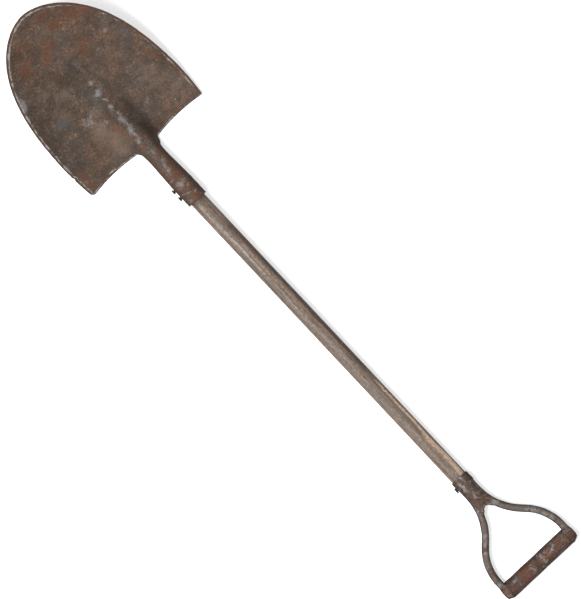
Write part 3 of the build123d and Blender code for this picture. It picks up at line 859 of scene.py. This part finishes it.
def makeTurnedTree():
    # a round bar swept along a line of points that carry their own radius, then roughened
    tree = bpy.data.node_groups.new("turnedPiece", "GeometryNodeTree")
    kinds = {"Geometry": "NodeSocketGeometry", "Sides": "NodeSocketInt", "Lump Depth": "NodeSocketFloat",
             "Lump Size": "NodeSocketFloat", "Lump Stretch": "NodeSocketFloat",
             "Groove Depth": "NodeSocketFloat", "Groove Size": "NodeSocketFloat",
             "Seed": "NodeSocketFloat", "Finish": "NodeSocketMaterial"}
    for label, kind in kinds.items():
        tree.interface.new_socket(label, in_out="INPUT", socket_type=kind)
    tree.interface.new_socket("Geometry", in_out="OUTPUT", socket_type="NodeSocketGeometry")
    given, made = tree.nodes.new("NodeGroupInput"), tree.nodes.new("NodeGroupOutput")
    link = tree.links.new
    line = tree.nodes.new("GeometryNodeMeshToCurve")
    ring = tree.nodes.new("GeometryNodeCurvePrimitiveCircle")
    ring.inputs["Radius"].default_value = 1.0
    radius = tree.nodes.new("GeometryNodeInputNamedAttribute")
    radius.inputs["Name"].default_value = "turnedRadius"
    sweep = tree.nodes.new("GeometryNodeCurveToMesh")
    sweep.inputs["Fill Caps"].default_value = True
    link(given.outputs["Geometry"], line.inputs["Mesh"])
    link(given.outputs["Sides"], ring.inputs["Resolution"])
    link(line.outputs[0], sweep.inputs["Curve"])
    link(ring.outputs[0], sweep.inputs["Profile Curve"])
    link(radius.outputs["Attribute"], sweep.inputs["Scale"])
    position = tree.nodes.new("GeometryNodeInputPosition")
    squeeze = tree.nodes.new("ShaderNodeVectorMath")
    squeeze.operation = "MULTIPLY"
    combine = tree.nodes.new("ShaderNodeCombineXYZ")
    combine.inputs["X"].default_value = 1.0
    combine.inputs["Z"].default_value = 1.0
    link(given.outputs["Lump Stretch"], combine.inputs["Y"])
    link(position.outputs[0], squeeze.inputs[0])
    link(combine.outputs[0], squeeze.inputs[1])

    def relief(depth, size, detail):
        node = tree.nodes.new("ShaderNodeTexNoise")
        node.noise_dimensions = "4D"
        node.inputs["Detail"].default_value = detail
        link(squeeze.outputs[0], node.inputs["Vector"])
        link(given.outputs["Seed"], node.inputs["W"])
        link(calc(tree, "DIVIDE", 1.0, given.outputs[size]), node.inputs["Scale"])
        return times(tree, calc(tree, "SUBTRACT", node.outputs["Fac"], 0.5), given.outputs[depth])

    lumps = relief("Lump Depth", "Lump Size", 2.0)
    grooves = calc(tree, "MINIMUM", relief("Groove Depth", "Groove Size", 3.0), 0.0)
    out = tree.nodes.new("ShaderNodeVectorMath")
    out.operation = "SCALE"
    link(tree.nodes.new("GeometryNodeInputNormal").outputs[0], out.inputs[0])
    link(calc(tree, "ADD", lumps, grooves), out.inputs["Scale"])
    move = tree.nodes.new("GeometryNodeSetPosition")
    link(sweep.outputs[0], move.inputs["Geometry"])
    link(out.outputs[0], move.inputs["Offset"])
    real = tree.nodes.new("GeometryNodeRealizeInstances")
    finish = tree.nodes.new("GeometryNodeSetMaterial")
    link(move.outputs[0], real.inputs[0])
    link(real.outputs[0], finish.inputs["Geometry"])
    link(given.outputs["Finish"], finish.inputs["Material"])
    link(finish.outputs[0], made.inputs[0])
    return tree


turnedTree = makeTurnedTree()


def turnPiece(name, stations, axis, middle, values, material):
    # stations are (place along the axis, radius); middle is where the axis passes
    direction = Vector(axis)
    start = bpy.data.meshes.new(name + "Line")
    points = [tuple(Vector(middle) + direction * station) for station, _ in stations]
    start.from_pydata(points, [(i, i + 1) for i in range(len(points) - 1)], [])
    radii = start.attributes.new("turnedRadius", "FLOAT", "POINT")
    radii.data.foreach_set("value", [radius for _, radius in stations])
    blank = addObject(name + "Line", start)
    modifier = blank.modifiers.new("turned", "NODES")
    modifier.node_group = turnedTree
    items = turnedTree.interface.items_tree
    sockets = {item.name: item.identifier for item in items if item.in_out == "INPUT"}
    for label, value in {**values, "Finish": material}.items():
        modifier[sockets[label]] = value
    mesh = skinOf(blank, modifier)
    mesh.name = name
    cleanMesh(mesh, mergeWithin=0.002 * mm)
    return addObject(name, mesh)


shaft = {
    "radius": clip["dims"]["r_mm"] * mm, "seatSwell": 1.5 * mm, "seatStart": 2.5 * mm, "seatEnd": 80.0 * mm,
    "seatStraight": 36.0 * mm, "seatTip": 12.1 * mm,
    "yokeRelief": 0.45 * mm, "yokeSeat": 36.0 * mm, "yokeTip": 11.3 * mm,
    "rowSpacing": 4.0 * mm, "sides": 180,
    "lumps": {"Lump Depth": 0.5 * mm, "Lump Size": 9.0 * mm, "Lump Stretch": 0.06, "Groove Depth": 0.9 * mm,
              "Groove Size": 1.9 * mm, "Seed": 4.0},
}
shaftLook = {
    "grain": (paint(106, 91, 80), paint(144, 126, 112)), "dullPatch": paint(118, 108, 98),
    "warmPatch": paint(152, 126, 110), "crack": paint(70, 56, 47), "breakTone": paint(96, 84, 74),
    "paleFleck": paint(172, 164, 154), "darkFleck": paint(88, 76, 66), "mouthDarkTone": paint(84, 62, 50),
    "sheen": 0.3, "bumpStrength": 0.6, "bumpDepth": 0.5 * mm, "wander": 40.0, "streakFade": 12.0,
    # streaks: turn from the top and half width (degrees), from and to (mm from the blade's socket),
    # colour, strength
    "streaks": [
        (-14, 15, 2, 110, paint(170, 160, 154), 0.75), (-12, 7, 82, 215, paint(190, 182, 176), 0.7),
        (14, 11, 88, 215, paint(172, 146, 124), 0.8), (20, 8, 5, 90, paint(146, 118, 98), 0.6),
        (38, 12, 8, 130, paint(124, 92, 78), 0.7), (58, 28, 55, 350, paint(70, 52, 44), 0.85),
        (-8, 12, 215, 380, paint(152, 146, 142), 0.5), (8, 8, 250, 400, paint(160, 132, 116), 0.5),
        (26, 3, 225, 370, paint(176, 142, 114), 0.6), (46, 17, 372, 560, paint(234, 198, 168), 0.9),
        (28, 17, 475, 565, paint(224, 192, 166), 0.9), (20, 2.5, 420, 530, paint(60, 45, 36), 0.7),
        # painted shade: the dark band at -78 degrees darkens the shaft's left edge along its whole length
        (-30, 9, 380, 540, paint(146, 132, 122), 0.5), (-78, 24, 0, 553, paint(100, 80, 64), 0.6),
        (-66, 7, 5, 560, paint(168, 136, 110), 0.7), (64, 8, 360, 553, paint(96, 76, 62), 0.5),
    ],
    # short dark breaks across the pale streak: place (mm), turn from the top (degrees)
    "breaks": [(22, -10), (58, -8), (72, -4), (112, -2), (140, 6)],
}


def shaftStations():
    radius, end = shaft["radius"], -bareLength
    seat = radius + shaft["seatSwell"]
    rows = [
        (shaft["seatEnd"], shaft["seatTip"] - 1.5 * mm), (shaft["seatEnd"] - 1.5 * mm, shaft["seatTip"]),
        (shaft["seatStraight"], seat), (shaft["seatStart"] + 1.2 * mm, seat), (shaft["seatStart"], radius),
    ]
    count = int(bareLength / shaft["rowSpacing"])
    rows += [(shaft["seatStart"] + (end - shaft["seatStart"]) * i / count, radius) for i in range(1, count)]
    rows += [(end + 0.6 * mm, radius), (end, radius - shaft["yokeRelief"])]
    return rows + [(end - shaft["yokeSeat"], shaft["yokeTip"])]


def weatheredWood():
    look = shaftLook
    material, tree, shader, vector = newMaterial("weatheredWood")
    where = axes(tree, vector)
    along = times(tree, where["Y"], -1000.0)          # millimetres from the blade's socket
    wave = calc(tree, "SUBTRACT", cloud(tree, stretch(tree, vector, (0.2, 1, 0.2)), 14.0, 3, 0.5), 0.5)
    turn = calc(tree, "DEGREES", calc(tree, "ARCTAN2", where["X"], where["Z"]))
    turn = calc(tree, "ADD", turn, times(tree, wave, look["wander"]))
    # every pattern is drawn out along the grain, some more than others
    streak = cloud(tree, stretch(tree, vector, (1, 0.03, 1)), 300.0, 4, 0.65)
    fine = cloud(tree, stretch(tree, vector, (1, 0.02, 1)), 1300.0, 3, 0.7)
    blotch = cloud(tree, stretch(tree, vector, (1, 0.35, 1)), 42.0, 4, 0.6)
    mottle = cloud(tree, stretch(tree, vector, (1, 0.6, 1)), 420.0, 3, 0.6)
    flecks = cloud(tree, stretch(tree, vector, (1, 0.45, 1)), 380.0, 4, 0.7, 0.5)
    colour = blend(tree, between(tree, streak, 0.34, 0.62), *look["grain"])
    colour = tinted(tree, colour, between(tree, blotch, 0.5, 0.34), 0.45, look["dullPatch"])
    colour = tinted(tree, colour, between(tree, blotch, 0.52, 0.68), 0.4, look["warmPatch"])
    worn = calc(tree, "MULTIPLY_ADD", streak, 0.5, times(tree, mottle, 0.5))
    broken = between(tree, worn, 0.36, 0.52)
    fade = look["streakFade"]
    for middle, width, start, end, tone, strength in look["streaks"]:
        near = between(tree, apart(tree, turn, middle), width, width * 0.35)
        begins = between(tree, along, start - fade, start + fade + 2)
        ends = between(tree, along, end + fade + 2, end - fade)
        mask = times(tree, times(tree, near, begins), times(tree, ends, broken))
        colour = tinted(tree, colour, mask, strength, tone)
    for station, middle in look["breaks"]:
        near = between(tree, apart(tree, turn, middle), 14.0, 5.0)
        mask = times(tree, near, between(tree, apart(tree, along, station), 3.2, 0.6))
        colour = tinted(tree, colour, mask, 0.55, look["breakTone"])
    colour = tinted(tree, colour, between(tree, fine, 0.5, 0.3), 0.45, look["crack"])
    colour = tinted(tree, colour, between(tree, flecks, 0.54, 0.7), 0.5, look["paleFleck"])
    colour = tinted(tree, colour, between(tree, flecks, 0.47, 0.33), 0.5, look["darkFleck"])
    weather = calc(tree, "MULTIPLY_ADD", calc(tree, "SUBTRACT", mottle, 0.5), 1.1, 1.0)
    colour = blend(tree, 1.0, colour, weather, "MULTIPLY")
    # darker next to the mouth of the blade's socket
    colour = tinted(tree, colour, between(tree, where["Y"], -12 * mm, -1 * mm), 0.55, look["mouthDarkTone"])
    plug(tree, shader.inputs["Base Color"], colour)
    plug(tree, shader.inputs["Roughness"], calc(tree, "MULTIPLY_ADD", streak, -0.2, 0.82))
    shader.inputs["Specular IOR Level"].default_value = look["sheen"]
    height = calc(tree, "MULTIPLY_ADD", fine, 0.6, times(tree, streak, 0.6))
    bump(tree, shader, height, look["bumpStrength"], look["bumpDepth"])
    return material


wood = weatheredWood()
values = {"Sides": shaft["sides"], **shaft["lumps"]}
shaftPiece = turnPiece("shaft_turned", shaftStations(), (0, 1, 0), (0, 0, 0), values, wood)
shaftPiece.data.transform(toolPlace)
shadeSmooth(shaftPiece, 50)
hangOn(shaftPiece, "shaft_wood", wood, "shaft")

rivets = {
    "shank": 2.5 * mm, "headThickness": 2.5 * mm, "tailDepth": 1.3 * mm, "tailRadius": 3.8 * mm, "sides": 28,
    "seeds": {"socket_rivet_front": 11.0, "socket_rivet_rear": 12.0, "yoke_rivet": 13.0},
    "lumps": {"Lump Depth": 0.5 * mm, "Lump Size": 2.2 * mm, "Lump Stretch": 1.0,
              "Groove Depth": 0.0, "Groove Size": 1.0 * mm},
}
rivetLook = {
    "coat": {
        "Stain Scale": 200.0, "Speck Scale": 900.0, "Brown": paint(74, 62, 54), "Dark": paint(44, 36, 31),
        "Pale": paint(120, 108, 98), "Orange": paint(92, 58, 42), "Grey": paint(88, 86, 84),
        "Dark Amount": 0.6, "Pale Amount": 0.4, "Orange Amount": 0.5, "Grey Amount": 0.4,
    },
    "worn": {
        "scale": 500.0, "threshold": 0.72, "softness": 0.05, "strength": 0.5, "edgeRub": 0.12,
        "polish": 0.15, "metal": 0.1, "scratchScale": 150.0, "scratchWidth": 0.01, "scratchAmount": 0.1,
        "darkBare": paint(96, 90, 86), "paleBare": paint(140, 138, 136),
    },
    "sheen": 0.2, "sideShade": 0.2, "bumpStrength": 0.6, "bumpDepth": 0.3 * mm,
}
rivetSteel = rustySteel("rivetSteel", rivetLook)


def headStations(edge, inner, radius, shank):
    # a hammered head from its crown to the step down to its shank
    thick = inner - edge
    shares = [(0.0, 0.55), (0.06, 0.8), (0.2, 0.93), (0.45, 1.0), (0.8, 0.99), (0.97, 0.93)]
    return [(edge + thick * share, radius * part) for share, part in shares] + [(inner + thick * 0.01, shank)]


for node, seed in rivets["seeds"].items():
    low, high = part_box(node)
    middle = (low + high) / 2
    headRadius = (high.y - low.y) / 2
    stations = headStations(low.x, low.x + rivets["headThickness"], headRadius, rivets["shank"])
    stations += [(high.x - rivets["tailDepth"], rivets["shank"]), (high.x, rivets["tailRadius"])]
    values = {"Sides": rivets["sides"], **rivets["lumps"], "Seed": seed}
    rivet = turnPiece(node + "_hammered", stations, (1, 0, 0), (0, middle.y, middle.z), values, rivetSteel)
    paintEdges(rivet, 3, 0.25 * mm)
    paintSideShade(rivet)
    shadeSmooth(rivet)
    hangOn(rivet, "rivet_steel", rivetSteel, node)

low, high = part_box("grip_pin")
gripMiddle = (low + high) / 2
gripLine = (gripMiddle - mouthPoint).dot(alongTool)          # the grip's place on the tool's line
gripPin = {"head": 0.6 * mm, "shank": 4.0 * mm, "sides": 36, "seed": 21.0}
pinRadius = (high.z - low.z) / 2
stations = headStations(low.x, low.x + gripPin["head"], pinRadius, gripPin["shank"])
stations += [(-station, radius) for station, radius in reversed(stations)]
values = {"Sides": gripPin["sides"], **rivets["lumps"], "Seed": gripPin["seed"]}
centre = (0, gripMiddle.y, gripMiddle.z)
pinPiece = turnPiece("grip_pin_peened", stations, (1, 0, 0), centre, values, rivetSteel)
paintEdges(pinPiece, 3, 0.25 * mm)
paintSideShade(pinPiece)
shadeSmooth(pinPiece)
hangOn(pinPiece, "rivet_steel", rivetSteel, "grip_pin")


yoke = {
    "voxel": 0.78 * mm, "rounds": 4,
    "crotchPast": 62.0 * mm, "crotchReach": 13.0 * mm, "crotchRounds": 30,    # softer where the arms part
    "lumps": 0.28 * mm, "lumpSize": 15.0 * mm, "grain": 0.12 * mm, "grainSize": 4.0 * mm,
}


def makeYoke():
    # the designed shape rebuilt as one even skin, its edges softened and its surface made uneven
    mesh = frame["nodes"]["yoke"].data.copy()
    mesh.name = "yoke_cast"
    cleanMesh(mesh, mergeWithin=0.001 * mm, faceOut=False)
    blank = addObject("yokeBlank", mesh)
    remesh = blank.modifiers.new("skin", "REMESH")
    remesh.mode = "VOXEL"
    remesh.voxel_size = yoke["voxel"]
    skin = skinOf(blank, remesh)
    piece = addObject("yoke_cast", skin)
    points = smoothed(skin, meshPoints(skin), yoke["rounds"])
    crotch = np.array(toolPlace @ Vector((0, -bareLength - yoke["crotchPast"], 0)))
    away = np.hypot(points[:, 0] - crotch[0], points[:, 1] - crotch[1])
    nearCrotch = eased(2 - away / yoke["crotchReach"])[:, None]
    points += (smoothed(skin, points, yoke["crotchRounds"]) - points) * nearCrotch
    skin.vertices.foreach_set("co", points.ravel())
    skin.update()
    uneven = roughness(points, yoke["lumpSize"], 8) * yoke["lumps"]
    uneven += roughness(points, yoke["grainSize"], 9) * yoke["grain"]
    points = points + meshNormals(skin) * uneven[:, None]
    skin.vertices.foreach_set("co", points.ravel())
    skin.update()
    paintEdges(piece, 10, 0.3 * mm)
    paintSideShade(piece)
    shadeSmooth(piece, 60)
    return piece


yokeLook = {
    "coat": {
        "Stain Scale": 60.0, "Speck Scale": 420.0, "Brown": paint(100, 72, 57), "Dark": paint(62, 47, 38),
        "Pale": paint(140, 124, 114), "Orange": paint(114, 64, 42), "Grey": paint(102, 90, 83),
        "Dark Amount": 0.6, "Pale Amount": 0.5, "Orange Amount": 0.75, "Grey Amount": 0.6, "Mottle": 1.1,
    },
    "worn": {
        "scale": 82.0, "threshold": 0.55, "softness": 0.026, "strength": 0.88, "edgeRub": 0.0,
        "polish": 0.2, "metal": 0.1, "scratchScale": 60.0, "scratchWidth": 0.012, "scratchAmount": 0.6,
        "darkBare": paint(116, 106, 100), "paleBare": paint(164, 158, 154),
    },
    "sheen": 0.2, "sideShade": 0.55, "bumpStrength": 0.8, "bumpDepth": 0.6 * mm,
    "armGrey": paint(124, 116, 110), "bossRust": paint(104, 70, 54), "darkPatch": paint(84, 64, 52),
    "armStart": 50.0 * mm, "armEnd": 70.0 * mm, "armRub": 0.03,
}


def onArms(tree, vector):
    along = axes(tree, vector)["Y"]
    past = between(tree, along, -bareLength - yokeLook["armStart"], -bareLength - yokeLook["armEnd"])
    return times(tree, past, between(tree, along, gripLine - 4 * mm, gripLine + 16 * mm))


def yokeRub(tree, vector):
    # handled arms are rubbed a little more than the rest
    return times(tree, onArms(tree, vector), yokeLook["armRub"])


def yokeMarks(tree, vector, colour):
    # greyer arms with ragged brown patches, rusty bosses, and light flecks all over
    look = yokeLook
    broad = cloud(tree, moved(tree, vector, 0.2, 0.7, 0.1), 48.0, 4, 0.62)
    grey = times(tree, onArms(tree, vector), between(tree, broad, 0.36, 0.52))
    colour = tinted(tree, colour, grey, 0.6, look["armGrey"])
    brown = between(tree, cloud(tree, moved(tree, vector, 0.5, 0.1, 0.9), 110.0, 5, 0.65), 0.56, 0.6)
    colour = tinted(tree, colour, brown, 0.7, look["darkPatch"])
    byBoss = between(tree, axes(tree, vector)["Y"], gripLine + 14 * mm, gripLine + 2 * mm)
    onBoss = times(tree, byBoss, between(tree, broad, 0.3, 0.5))
    colour = tinted(tree, colour, onBoss, 0.65, look["bossRust"])
    fleck = between(tree, cloud(tree, vector, 300.0, 3, 0.6, 0.6), 0.62, 0.7)
    return tinted(tree, colour, fleck, 0.6, look["worn"]["paleBare"])


yokePiece = makeYoke()
hangOn(yokePiece, "yoke_iron", rustySteel("castYoke", yokeLook, yokeRub, yokeMarks), "yoke")


grip = {
    "wall": 1.8 * mm, "edgeRound": 0.25 * mm, "innerRound": 0.3 * mm, "rowSpacing": 1.5 * mm, "sides": 72,
    "dents": 0.35 * mm, "dentSize": 22.0 * mm, "pits": 0.09 * mm, "pitSize": 4.5 * mm, "tallest": 0.1 * mm,
}


def makeGrip():
    low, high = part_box("grip_tube")
    middle, half, radius = (low + high) / 2, (high.x - low.x) / 2, (high.z - low.z) / 2
    soft, inner, innerSoft = grip["edgeRound"], radius - grip["wall"], grip["innerRound"]
    count = int(2 * half / grip["rowSpacing"])
    bend = [(1 - math.cos(math.radians(a)), math.sin(math.radians(a))) for a in (0, 30, 60)]
    profile = [(-half + soft * back, radius - soft + soft * up) for back, up in bend]
    profile += [(-half + soft + (2 * half - 2 * soft) * i / count, radius) for i in range(count + 1)]
    profile += [(half - soft * back, radius - soft + soft * up) for back, up in reversed(bend)]
    profile += [(half, inner + innerSoft), (half - innerSoft, inner), (0.0, inner)]
    profile += [(-half + innerSoft, inner), (-half, inner + innerSoft)]
    sides = grip["sides"]
    angles = [2 * math.pi * k / sides for k in range(sides)]
    points = [(x, middle.y + r * math.cos(a), middle.z + r * math.sin(a)) for x, r in profile for a in angles]
    faces = []
    for j in range(len(profile)):
        after = (j + 1) % len(profile)
        for k in range(sides):
            right = (k + 1) % sides
            faces.append((j * sides + k, j * sides + right, after * sides + right, after * sides + k))
    piece = newObject("grip_tube_rolled", points, faces)
    cleanMesh(piece.data)
    places = meshPoints(piece.data)
    outer = np.hypot(places[:, 1] - middle.y, places[:, 2] - middle.z) > radius - grip["wall"] / 2
    uneven = roughness(places, grip["dentSize"], 15) * grip["dents"]
    uneven += roughness(places, grip["pitSize"], 16) * grip["pits"]
    places += meshNormals(piece.data) * (np.minimum(uneven, grip["tallest"]) * outer)[:, None]
    piece.data.vertices.foreach_set("co", places.ravel())
    piece.data.update()
    paintEdges(piece, 4, 0.2 * mm)
    paintSideShade(piece)
    shadeSmooth(piece)
    return piece


gripLook = {
    "coat": {
        "Stain Scale": 55.0, "Speck Scale": 420.0, "Brown": paint(96, 72, 58), "Dark": paint(62, 47, 37),
        "Pale": paint(140, 124, 114), "Orange": paint(116, 66, 42), "Grey": paint(98, 90, 84),
        "Dark Amount": 0.6, "Pale Amount": 0.5, "Orange Amount": 0.55, "Grey Amount": 0.6, "Mottle": 1.3,
    },
    "worn": {
        "scale": 85.0, "threshold": 0.61, "softness": 0.03, "strength": 0.8, "edgeRub": 0.08,
        "polish": 0.2, "metal": 0.1, "scratchScale": 60.0, "scratchWidth": 0.012, "scratchAmount": 0.6,
        "darkBare": paint(114, 106, 104), "paleBare": paint(162, 160, 162),
    },
    "sheen": 0.2, "sideShade": 0.5, "bumpStrength": 0.8, "bumpDepth": 0.6 * mm, "markHeight": 12.0 * mm,
    # rusty and rubbed places: across, and from the grip's middle towards the shaft (mm), size (mm), strength
    "rusty": [(-22, 0, 22, 0.7), (16, -2, 9, 0.6), (58, 2, 9, 0.5), (-52, -2, 10, 0.5), (40, 0, 10, 0.3)],
    "rubbed": [
        (18, 5, 5, 0.9), (5, -1, 5, 0.8), (-12, 5, 4, 0.8), (-42, 2, 5, 0.8), (33, 5, 3.5, 0.7),
        (12, -6, 3, 0.7),
    ],
    # which places, colour, where the ragged edge falls
    "marks": [("rusty", paint(116, 66, 42), 0.86), ("rubbed", paint(158, 154, 154), 0.99)],
}


def gripMarks(tree, vector, colour):
    # listed rust and rubbed places, with ragged edges and a mottled tone
    ragged = cloud(tree, moved(tree, vector, 0.3, 0.3, 0.8), 130.0, 5, 0.72)
    grain = cloud(tree, vector, 260.0, 4, 0.7, 0.5)
    mottled = calc(tree, "MULTIPLY_ADD", between(tree, grain, 0.36, 0.64), 0.5, 0.68)
    for name, tone, limit in gripLook["marks"]:
        for across, towards, size, strength in gripLook[name]:
            gap = tree.nodes.new("ShaderNodeVectorMath")
            gap.operation = "DISTANCE"
            plug(tree, gap.inputs[0], vector)
            gap.inputs[1].default_value = (across * mm, gripLine + towards * mm, gripLook["markHeight"])
            near = between(tree, gap.outputs["Value"], size * 1.4 * mm, size * 0.3 * mm)
            level = calc(tree, "MULTIPLY_ADD", near, 0.5, ragged)
            mask = between(tree, level, limit - 0.1, limit + 0.08)
            colour = tinted(tree, colour, mask, strength * 0.8, blend(tree, 1.0, tone, mottled, "MULTIPLY"))
    return colour


gripPiece = makeGrip()
hangOn(gripPiece, "grip_steel", rustySteel("rustedGrip", gripLook, None, gripMarks), "grip_tube")


studio = {
    "floorSize": 9.0, "floorTone": (0.8, 0.8, 0.8, 1.0), "floorFaint": (0.788, 0.788, 0.788, 1.0),
    "floorGlow": 0.5, "fill": 0.55, "sky": (1.0, 1.0, 1.0, 1.0),
    "keyDistance": 5.0, "keySize": 2.4, "keyPower": 360.0, "keyFrom": (-0.38, 0.08, 0.92),
    "turn": 46.81, "lean": 3.4, "lens": 1500.0, "sensor": 36.0, "viewHeight": 868.6 * mm,
    "aimAlong": -198.2 * mm, "aimAside": -1.3 * mm,
}


def makeFloor():
    half = studio["floorSize"] / 2
    corners = [(-half, -half, 0), (half, -half, 0), (half, half, 0), (-half, half, 0)]
    floor = newObject("floor", corners, [(0, 1, 2, 3)])
    material = bpy.data.materials.new("paleFloor")
    material.use_nodes = True
    tree = material.node_tree
    shader = tree.nodes["Principled BSDF"]
    own = tree.nodes.new("ShaderNodeTexCoord").outputs["Object"]
    mottled = between(tree, cloud(tree, own, 3.0, 4, 0.5), 0.2, 0.8)
    plug(tree, shader.inputs["Base Color"], blend(tree, mottled, studio["floorTone"], studio["floorFaint"]))
    shader.inputs["Roughness"].default_value = 0.9
    # lit from below for the camera only, like a light table
    seen = tree.nodes.new("ShaderNodeLightPath").outputs["Is Camera Ray"]
    shader.inputs["Emission Color"].default_value = (1.0, 1.0, 1.0, 1.0)
    plug(tree, shader.inputs["Emission Strength"], times(tree, seen, studio["floorGlow"]))
    floor.data.materials.append(material)


def onToolLine(across, along, up):
    return toolPlace @ Vector((across, along, up))


def makeLights():
    world = bpy.data.worlds.new("studio")
    world.use_nodes = True
    back = world.node_tree.nodes["Background"]
    back.inputs["Color"].default_value = studio["sky"]
    back.inputs["Strength"].default_value = studio["fill"]
    bpy.context.scene.world = world
    light = bpy.data.lights.new("key", "AREA")
    light.size = studio["keySize"]
    light.energy = studio["keyPower"]
    key = addObject("key", light)
    aim = onToolLine(0, studio["aimAlong"], 0)
    towardsKey = (toolPlace.to_3x3() @ Vector(studio["keyFrom"])).normalized()
    key.location = aim + towardsKey * studio["keyDistance"]
    key.rotation_mode = "QUATERNION"
    key.rotation_quaternion = (-towardsKey).to_track_quat("-Z", "Y")


def makeCamera():
    turned = toolPlace.to_3x3()
    lean, turn = math.radians(studio["lean"]), math.radians(studio["turn"])
    aside = turned @ Vector((math.cos(lean), 0, -math.sin(lean)))      # towards the tool's right
    down = turned @ Vector((0, -1, 0))                                 # from point to grip
    back = turned @ Vector((math.sin(lean), 0, math.cos(lean)))        # from the tool to the camera
    right = down * math.cos(turn) + aside * math.sin(turn)
    up = aside * math.cos(turn) - down * math.sin(turn)
    camera = bpy.data.cameras.new("camera")
    camera.lens = studio["lens"]
    camera.sensor_width = studio["sensor"]
    camera.clip_end = 100.0
    holder = addObject("camera", camera)
    aim = onToolLine(0, studio["aimAlong"], 0) + aside * studio["aimAside"]
    pose = Matrix((right, up, back)).transposed().to_4x4()
    pose.translation = aim + back * studio["viewHeight"] * studio["lens"] / studio["sensor"]
    holder.matrix_world = pose
    bpy.context.scene.camera = holder


makeFloor()
makeLights()
makeCamera()
bpy.context.scene.view_settings.view_transform = "Standard"
print("floor, light and camera set")
